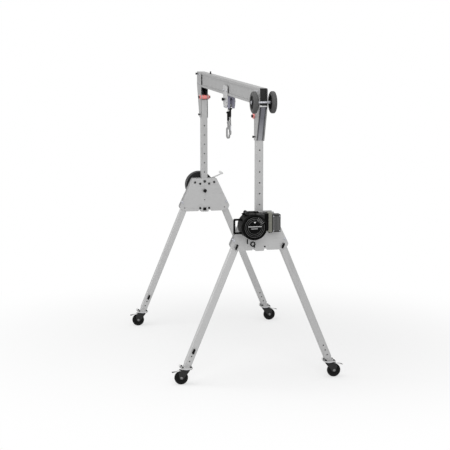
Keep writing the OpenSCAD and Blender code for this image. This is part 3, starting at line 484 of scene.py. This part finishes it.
# faces inside the tubes get the painted shade
hollow = {"upright": 0.0312, "leg": 0.0306, "foot": 0.0266}    # faces nearer to the axis are inside
uprightTop = 2.43                             # faces above this lie in the head
slopedTube = {"length": 0.2, "start": -0.02}  # tubes are longer, and start this far before the pivot
smallSize = {"transportHub": 0.13, "castorHub": 0.1, "footPin": 0.2}
bushWidth = {"nut": 0.03, "bolt": 0.107}      # the red bushes lie between these
sleeveFoot = {"near": 2.3575, "far": 2.3125}  # the hooks' black sleeves and bumpers lie above these
footMarks = {"bolt": 0.03, "plate": 0.009}    # a bolt is narrower, the castor's plate is thinner
stopSide = 0.22                               # the stop bolts lie further out than this
brakePad = 0.795                              # the pedals' black pads lie further out than this


# the beam's hollow gets the painted shade
def beamFinish(middle, size, face):
    between = beamHollow["bottom"] < face.center.z < beamHollow["top"]
    return "paintedShadeInside" if between and abs(face.center.y) < beamHollow["half"] else None


def insideUpright(end):
    def choose(middle, size, face):
        off = max(abs(face.center.x - ends[end] * stand["x"]), abs(face.center.y))
        return "paintedShadeInside" if face.center.z < uprightTop and off < hollow["upright"] else None
    return choose


def insideSlope(end, side, reach, otherwise):
    # the same for a tube that slopes as a leg does
    way, slope = sides[side], stand["legSlope"]
    pivot = Vector((ends[end] * stand["x"], way * stand["pivotY"], stand["pivotZ"]))
    axis = Vector((0, way * math.sin(slope), -math.cos(slope)))
    across = Vector((0, math.cos(slope), way * math.sin(slope)))

    def choose(middle, size, face):
        off = face.center - pivot
        inside = max(abs(off.x), abs(off.dot(across))) < reach and off.dot(axis) > slopedTube["start"]
        return "paintedShadeInside" if size.z > slopedTube["length"] and inside else otherwise(middle, size, face)
    return choose


def smallShapes(axis, limit, finish):
    # shapes that are smaller than the limit along an axis
    return lambda middle, size, face: finish if size[axis] < limit else None


def bushFinish(middle, size, face):
    return "blackOxide" if size.y > bushWidth["bolt"] or size.y < bushWidth["nut"] else None


def sleeveFinish(end):
    return lambda middle, size, face: "mouldedBlack" if face.center.z > sleeveFoot[end] else None


def footFinish(middle, size, face):
    if size.x < footMarks["bolt"]:
        return "blackOxide"
    return "whiteZinc" if size.z < footMarks["plate"] else None


def stopFinish(middle, size, face):
    return "brightZinc" if abs(middle.y) > stopSide else None


def brakeFinish(middle, size, face):
    return "blackOxide" if abs(face.center.y) > brakePad else None


# end plates are told by place, side plates by length, cross plates by thickness, the knob by side
trolleyMarks = {"endPlate": (0.0925, 0.0975), "endHalf": 0.0365, "endTop": 2.572, "sidePlate": 0.1,
                "thin": 0.006, "wide": 0.05, "knobSide": -0.045, "knob": (0.012, 0.03)}
headMarks = {"bolt": 0.02, "webHalf": 0.0342, "webFrom": 1.33}


def trolleyFinish(middle, size, face):
    marks, place = trolleyMarks, face.center
    onEnd = marks["endPlate"][0] < abs(place.x) < marks["endPlate"][1]
    if onEnd and abs(place.y) < marks["endHalf"] and place.z < marks["endTop"]:
        return "blueZinc"
    if size.x > marks["sidePlate"]:
        return None
    if size.x < marks["thin"] and size.y > marks["wide"]:
        return "blueZinc"
    if middle.y < marks["knobSide"] and marks["knob"][0] < size.y < marks["knob"][1]:
        return "mouldedBlack"
    return "brightZinc"


def headFinish(middle, size, face):
    if size.x < headMarks["bolt"] and size.z < headMarks["bolt"]:
        return "brightZinc"
    # the head's web takes the finish with painted shade
    onWeb = abs(face.center.y) < headMarks["webHalf"] and abs(face.center.x) > headMarks["webFrom"]
    return "webAlloyPaintedShade" if onWeb else None


blockMarks = {"front": -0.092, "bottom": 1.48, "face": 1.4975,
              "drum": (-0.095, 1.482), "drumRadius": 0.1185}
gearMarks = {"neck": (0.02, 0.05), "neckFrom": 1.38, "coverFrom": 0.12, "ribFrom": 1.449}
winchMarks = {"drum": (-0.036, 1.508), "drumWidth": 0.2, "flat": 0.5, "ringFrom": 0.1465}
gripSize = {"x": 0.13, "z": 0.03}


def blockFinish(middle, size, face):
    x, y, z = face.center
    drumY, drumZ = blockMarks["drum"]
    onDrum = (y - drumY) ** 2 + (z - drumZ) ** 2 < blockMarks["drumRadius"] ** 2
    behind = y > blockMarks["front"] and z > blockMarks["bottom"] and x < blockMarks["face"]
    return "housingGrey" if behind and not onDrum else None


def gearFinish(middle, size, face):
    if gearMarks["neck"][0] < middle.y < gearMarks["neck"][1] and middle.x > gearMarks["neckFrom"]:
        return "housingBlack"
    if middle.y < gearMarks["coverFrom"]:
        return None
    # the ribs' front faces are painted lighter: painted highlight
    return "ribGreyPaintedHighlight" if face.center.x > gearMarks["ribFrom"] else "housingGrey"


def winchFinish(middle, size, face):
    # the rim's flat ring faces get the lighter glossy grey, partly a painted highlight
    drumY, drumZ = winchMarks["drum"]
    outer = math.hypot(face.center.y - drumY, face.center.z - drumZ) > winchMarks["ringFrom"]
    onFace = size.y > winchMarks["drumWidth"] and abs(face.normal.x) > winchMarks["flat"]
    return "ringGlossPaintedHighlight" if onFace and outer else None


def gripFinish(middle, size, face):
    return "mouldedBlack" if size.x < gripSize["x"] and size.z < gripSize["z"] else None


paint("beam", "beamAlloy", beamFinish, ["paintedShadeInside"])
paint("end_caps", "blackOxide")
paint("pivot_bushes", "redAnodised", bushFinish, ["blackOxide"])
paint("transport_axle", "brightZinc")
paint("trolley_frame", "plateAlloy", trolleyFinish, ["brightZinc", "mouldedBlack", "blueZinc"])
for side in sides:
    paint(f"transport_wheel_{side}", "greyRubber",
          smallShapes(0, smallSize["transportHub"], "mouldedBlack"), ["mouldedBlack"])
for end in ends:
    paint(f"head_{end}", "headAlloy", headFinish, ["brightZinc", "webAlloyPaintedShade"])
    paint(f"head_plunger_{end}", "mouldedBlack")
    paint(f"trolley_rollers_{end}", "mouldedBlack")
    paint(f"sheave_{end}", "blueZinc")
    paint(f"hook_{end}", "forgedGrey", sleeveFinish(end), ["mouldedBlack"])
    paint(f"hook_gate_{end}", "brightZinc")
    paint(f"upright_{end}", "uprightAlloy", insideUpright(end), ["paintedShadeInside"])
    paint(f"stand_plates_{end}", "plateAlloy")
    paint(f"stand_bolts_{end}", "blackOxide", stopFinish, ["brightZinc"])
    paint(f"guide_blocks_{end}", "mouldedBlack")
    paint(f"height_plunger_{end}", "mouldedBlack")
    for side in sides:
        corner = f"{end}_{side}"
        footPin = smallShapes(2, smallSize["footPin"], "mouldedBlack")
        paint(f"leg_{corner}", f"{side}LegAlloy",
              insideSlope(end, side, hollow["leg"], footPin), ["mouldedBlack", "paintedShadeInside"])
        paint(f"leg_pin_{corner}", "mouldedBlack")
        paint(f"foot_{corner}", f"{side}LegAlloy",
              insideSlope(end, side, hollow["foot"], footFinish), ["blackOxide", "whiteZinc", "paintedShadeInside"])
        paint(f"fork_{corner}", "forkGrey")
        paint(f"wheel_{corner}", "blackRubber",
              smallShapes(2, smallSize["castorHub"], "mouldedBlack"), ["mouldedBlack"])
        paint(f"brake_{corner}", "whiteZinc", brakeFinish, ["blackOxide"])
paint("rescue_block", "housingBlack", blockFinish, ["housingGrey"])
paint("rescue_gearbox", "olivePowder", gearFinish, ["housingBlack", "housingGrey", "ribGreyPaintedHighlight"])
paint("rescue_crank", "blackOxide")
paint("winch", "blackOxide", winchFinish, ["ringGlossPaintedHighlight"])
paint("winch_crank", "whiteZinc", gripFinish, ["mouldedBlack"])
print("stage 4: finishes on the nodes")

# small fittings that the solids leave out
sunk = 0.001    # how far a ring's foot goes into the face that it stands on
drumCover = {
    "face": (1.5524, -0.095, 1.482),
    "bands": (0.061, 0.076, 0.090), "bandWidth": 0.0036, "rise": 0.0024, "shoulder": 0.6,
    "bandSteps": 72, "bandCrisp": 40,
    "ribTurns": (22, 32, 42, 52, 62), "ribSpan": (0.065, 0.099), "ribWidth": 0.004, "ribEdge": 0.0006,
    "hub": 1.5566, "bars": ((-0.060, 0.064, 0.0045, 0.0125), (-0.034, 0.026, -0.0135, -0.0075)),
    "barThick": 0.0014, "barEdge": 0.0005,
    "boltUp": 0.046, "boltSize": 0.009, "boltHeight": 0.005, "boltEdge": 0.0008,
}


def dressDrum(cover):
    x, y, z = cover["face"]
    half, rise = cover["bandWidth"] / 2, cover["rise"]
    shoulder = rise * cover["shoulder"]
    bands = Parts()
    for radius in cover["bands"]:
        bands.lathe([(radius - half, -sunk), (radius - half, shoulder), (radius - half / 2, rise),
                     (radius + half / 2, rise), (radius + half, shoulder), (radius + half, -sunk)],
                    at(x, y, z, (1, 0, 0)), cover["bandSteps"])
    # the bands' lighter grey is partly a painted highlight
    bands.piece("drumBands", "ringGlossPaintedHighlight", "near_stand", cover["bandCrisp"])
    ribs = Parts()
    inner, outer = cover["ribSpan"]
    half = cover["ribWidth"] / 2
    section = [(-rise, -half), (rise, -half), (rise, half), (-rise, half)]
    for turn in cover["ribTurns"]:
        a = math.radians(turn)
        out = Vector((0, math.sin(a), math.cos(a)))
        foot = Vector((x + rise / 2, y, z)) + out * inner
        ribs.prism(section, outer - inner, at(*foot, out))
    # the ribs' pale grey is a painted highlight
    roundEdges(ribs.piece("drumRibs", "ribGreyPaintedHighlight", "near_stand"), cover["ribEdge"])
    bars = Parts()
    back, front = cover["hub"], cover["hub"] + cover["barThick"]
    for left, right, bottom, top in cover["bars"]:
        bars.block((back, y + left, z + bottom), (front, y + right, z + top))
    roundEdges(bars.piece("drumPlate", "plainStrip", "near_stand"), cover["barEdge"])
    bolt = Parts().prism(ringOf(cover["boltSize"], 6), cover["boltHeight"],
                         at(cover["hub"], y, z + cover["boltUp"], (1, 0, 0)))
    roundEdges(bolt.piece("drumBolt", "whiteZinc", "near_stand"), cover["boltEdge"])


# the case between drum and plate and its latch, both drawn in Y and Z, and the gearbox's feet and bolts
gearCase = {
    "caseX": (1.3575, 1.3915), "caseEdge": 0.006, "caseCuts": 3,
    "case": [(-0.141, 1.604), (-0.020, 1.604), (-0.020, 1.500), (-0.188, 1.500)],
    "latchX": (1.425, 1.455), "latchEdge": 0.003,
    "latch": [(-0.166, 1.606), (-0.190, 1.598), (-0.191, 1.590), (-0.164, 1.580)],
    "feet": ((1.425, 0.070), (1.425, 0.088)), "footTop": 1.4195,
    "foot": [(0, -0.011), (0.0045, -0.011), (0.0065, -0.008), (0.0065, 0), (0, 0)], "footSteps": 24,
    "bolts": ((0.104, 1.430), (0.162, 1.430), (0.104, 1.566), (0.162, 1.566)),
    "boltFace": 1.4492, "boltSize": 0.0055, "boltHeight": 0.004, "boltEdge": 0.0006,
}


def dressGears(case):
    x0, x1 = case["caseX"]
    body = Parts().prism(case["case"], x1 - x0, sideOn(x0))
    roundEdges(body.piece("gearCase", "housingBlack", "near_stand"), case["caseEdge"], case["caseCuts"])
    x0, x1 = case["latchX"]
    latch = Parts().prism(case["latch"], x1 - x0, sideOn(x0))
    roundEdges(latch.piece("crankLatch", "housingBlack", "near_stand"), case["latchEdge"])
    feet = Parts()
    for x, y in case["feet"]:
        feet.lathe(case["foot"], at(x, y, case["footTop"]), case["footSteps"])
    feet.piece("gearboxFeet", "mouldedBlack", "near_stand")
    bolts = Parts()
    for y, z in case["bolts"]:
        bolts.prism(ringOf(case["boltSize"], 6), case["boltHeight"], at(case["boltFace"], y, z, (1, 0, 0)))
    roundEdges(bolts.piece("gearboxBolts", "brightZinc", "near_stand"), case["boltEdge"])


# axle caps, swivel race, turned-up tab and weld bead of a castor; the cap is given in shares of its radius
castorFit = {
    "y": 0.7298, "z": 0.0635, "fork": 0.0226, "capRadius": 0.0130, "capSteps": 32,
    "cap": [(0, 0), (1, 0), (1, 0.0025), (0.8, 0.0065), (0.35, 0.0082), (0, 0.0084)],
    "swivelY": 0.6828, "raceSteps": 48,
    "race": [(0.0336, 0.1388), (0.0362, 0.1388), (0.0386, 0.1415), (0.0386, 0.1489), (0.0336, 0.1489)],
    "plateHalf": 0.0545, "plateTop": 0.162, "tabHalf": 0.015, "tabEdge": 0.0008,
    "tab": [(0.001, -0.007), (-0.006, -0.006), (-0.012, 0.002), (-0.013, 0.014), (-0.009, 0.023),
            (0.000, 0.027), (0.005, 0.024), (0.003, 0.020), (0.000, 0.0225), (-0.006, 0.020),
            (-0.009, 0.013), (-0.008, 0.004), (-0.003, -0.002), (0.001, -0.003)],
    "tube": (0.0292, 0.0316), "bead": 0.0028, "beadUp": 0.001,
}
beadRipple = {"step": 0.004, "height": 0.16, "pace": 2.2}


def weldBead(parts, corners, radius, closed=False):
    # a rippled bead along a line of corners
    line = finer(corners + corners[:1] if closed else corners, beadRipple["step"])
    if closed:
        line = line[:-1]
    height, pace = beadRipple["height"], beadRipple["pace"]
    radii = [radius * (1 + height * math.sin(pace * i)) for i in range(len(line))]
    return parts.tube(line, radii, closed=closed)


def dressCastor(end, side, fit):
    name = f"{end}_{side}"
    x, way = ends[end] * stand["x"], sides[side]
    caps = Parts()
    for face in (-1, 1):
        caps.lathe([(share * fit["capRadius"], fit["fork"] + height) for share, height in fit["cap"]],
                   at(x, way * fit["y"], fit["z"], (face, 0, 0)), fit["capSteps"])
    # the axle caps take the same pale grey, partly a painted highlight
    caps.piece(f"axleCaps_{name}", "ribGreyPaintedHighlight", f"{name}_fork")
    race = Parts().lathe(fit["race"], at(x, way * fit["swivelY"], 0), fit["raceSteps"])
    race.piece(f"swivelRace_{name}", "brightZinc", f"{name}_foot")
    edge = way * fit["swivelY"] - fit["plateHalf"]
    tab = Parts().prism([(edge + y, fit["plateTop"] + z) for y, z in fit["tab"]], 2 * fit["tabHalf"],
                        sideOn(x - fit["tabHalf"]))
    roundEdges(tab.piece(f"footTab_{name}", "whiteZinc", f"{name}_foot"), fit["tabEdge"])
    halfX, halfY = fit["tube"]
    middle = way * (stand["pivotY"] + (stand["pivotZ"] - fit["plateTop"]) * math.tan(stand["legSlope"]))
    corners = [Vector((x + i * halfX, middle + j * halfY, fit["plateTop"] + fit["beadUp"]))
               for i, j in ((-1, -1), (1, -1), (1, 1), (-1, 1))]
    weld = weldBead(Parts(), corners, fit["bead"], closed=True)
    weld.piece(f"footWeld_{name}", "plateAlloy", f"{name}_foot")


# weld beads along both sides of a head's sloping web, and the lip above it
headFit = {
    "webFoot": (1.3375, 2.245), "slope": 0.3885,
    "beadSide": 0.0326, "beadFrom": 2.252, "beadTo": 2.540, "bead": 0.0030,
    "lip": ((1.4560, -0.0338, 2.5625), (1.4605, 0.0338, 2.5715)), "lipEdge": 0.001,
}


def dressHead(end, fit):
    way = ends[end]
    footX, footZ = fit["webFoot"]
    beads = Parts()
    for face in (-1, 1):
        line = [Vector((way * (footX + fit["slope"] * (z - footZ)), face * fit["beadSide"], z))
                for z in (fit["beadFrom"], fit["beadTo"])]
        weldBead(beads, line, fit["bead"])
    beads.piece(f"headWelds_{end}", "plateAlloy", "beam")
    (x0, y0, z0), (x1, y1, z1) = fit["lip"]
    lip = Parts().block((min(way * x0, way * x1), y0, z0), (max(way * x0, way * x1), y1, z1))
    roundEdges(lip.piece(f"headLip_{end}", "whiteZinc", "beam"), fit["lipEdge"])


dressDrum(drumCover)
dressGears(gearCase)
for end in ends:
    dressHead(end, headFit)
    for side in sides:
        dressCastor(end, side, castorFit)
print("stage 5: small fittings")

# floor, backdrop and light
white = 1.0    # seen straight, this strength is pure white
# glow and share leave the floor darker near the crane than the white further off: painted shade, which lifts
# to white between near and far
floorLook = {"size": 60.0, "tone": 0.80, "glow": 0.48, "share": 0.37, "near": 0.8, "far": 3.9}
backdrop = {"colour": (1, 1, 1, 1), "light": 0.66}
lamps = {
    "overhead": {"place": (1.5, -2.0, 7.5), "aim": (0, 0, 1.2), "size": 6.0, "power": 250},
    "front": {"place": (8.0, -1.0, 5.0), "aim": (0, 0, 1.3), "size": 4.0, "power": 240},
    "left": {"place": (-1.0, -8.0, 3.5), "aim": (0, 0, 1.3), "size": 4.0, "power": 120},
}


def straightRays(tree):
    # camera, mirror and see-through rays all meet the pale studio, so that metal shows it too
    rays = addNode(tree, "ShaderNodeLightPath")
    shine = addNode(tree, "ShaderNodeMath", {
        0: rays.outputs["Is Camera Ray"], 1: rays.outputs["Is Glossy Ray"]}, operation="MAXIMUM")
    straight = addNode(tree, "ShaderNodeMath", {
        0: shine.outputs["Value"], 1: rays.outputs["Is Transmission Ray"]}, operation="MAXIMUM")
    return straight.outputs["Value"]


def makeFloor(look):
    # seen straight, the floor keeps its shadows near the crane and turns to pure white further off; near the
    # crane it is also darker as a whole, a painted shade around the crane
    half = look["size"] / 2
    mesh = bpy.data.meshes.new("floor")
    corners = [(-half, -half, 0), (half, -half, 0), (half, half, 0), (-half, half, 0)]
    mesh.from_pydata(corners, [], [(0, 1, 2, 3)])
    floor = bpy.data.objects.new("floor", mesh)
    scene.collection.objects.link(floor)
    material = bpy.data.materials.new("studioFloor")
    material.use_nodes = True
    tree = material.node_tree
    tree.nodes.clear()
    out = addNode(tree, "ShaderNodeOutputMaterial")
    plain = addNode(tree, "ShaderNodeBsdfDiffuse", {"Color": (look["tone"],) * 3 + (1,)})
    coords = addNode(tree, "ShaderNodeTexCoord")
    reach = addNode(tree, "ShaderNodeVectorMath", {0: coords.outputs["Object"]}, operation="LENGTH")
    away = addNode(tree, "ShaderNodeMapRange", {
        "Value": reach.outputs["Value"], "From Min": look["near"], "From Max": look["far"]},
        interpolation_type="SMOOTHSTEP")
    shown = addNode(tree, "ShaderNodeBsdfDiffuse", {"Color": (look["share"],) * 3 + (1,)})
    glow = addNode(tree, "ShaderNodeEmission", {"Color": backdrop["colour"], "Strength": look["glow"]})
    under = addNode(tree, "ShaderNodeAddShader", {0: shown.outputs[0], 1: glow.outputs[0]})
    clear = addNode(tree, "ShaderNodeEmission", {"Color": backdrop["colour"], "Strength": white})
    seen = addNode(tree, "ShaderNodeMixShader", {
        0: away.outputs["Result"], 1: under.outputs[0], 2: clear.outputs[0]})
    both = addNode(tree, "ShaderNodeMixShader", {
        0: straightRays(tree), 1: plain.outputs[0], 2: seen.outputs[0]})
    tree.links.new(both.outputs[0], out.inputs["Surface"])
    mesh.materials.append(material)


def makeWorld(look):
    world = bpy.data.worlds.new("studio")
    scene.world = world
    world.use_nodes = True
    tree = world.node_tree
    tree.nodes.clear()
    out = addNode(tree, "ShaderNodeOutputWorld")
    light = addNode(tree, "ShaderNodeBackground", {"Color": look["colour"], "Strength": look["light"]})
    clear = addNode(tree, "ShaderNodeBackground", {"Color": look["colour"], "Strength": white})
    both = addNode(tree, "ShaderNodeMixShader", {
        0: straightRays(tree), 1: light.outputs[0], 2: clear.outputs[0]})
    tree.links.new(both.outputs[0], out.inputs["Surface"])


def addLamp(name, place, aim, size, power):
    data = bpy.data.lights.new(name, "AREA")
    data.shape = "DISK"
    data.size = size
    data.energy = power
    lamp = bpy.data.objects.new(name, data)
    lamp.location = place
    lamp.rotation_euler = (Vector(aim) - Vector(place)).to_track_quat("-Z", "Y").to_euler()
    scene.collection.objects.link(lamp)


makeFloor(floorLook)
makeWorld(backdrop)
for name, lamp in lamps.items():
    addLamp(name, **lamp)
print("stage 6: floor and light")

scene.view_settings.view_transform = "Standard"
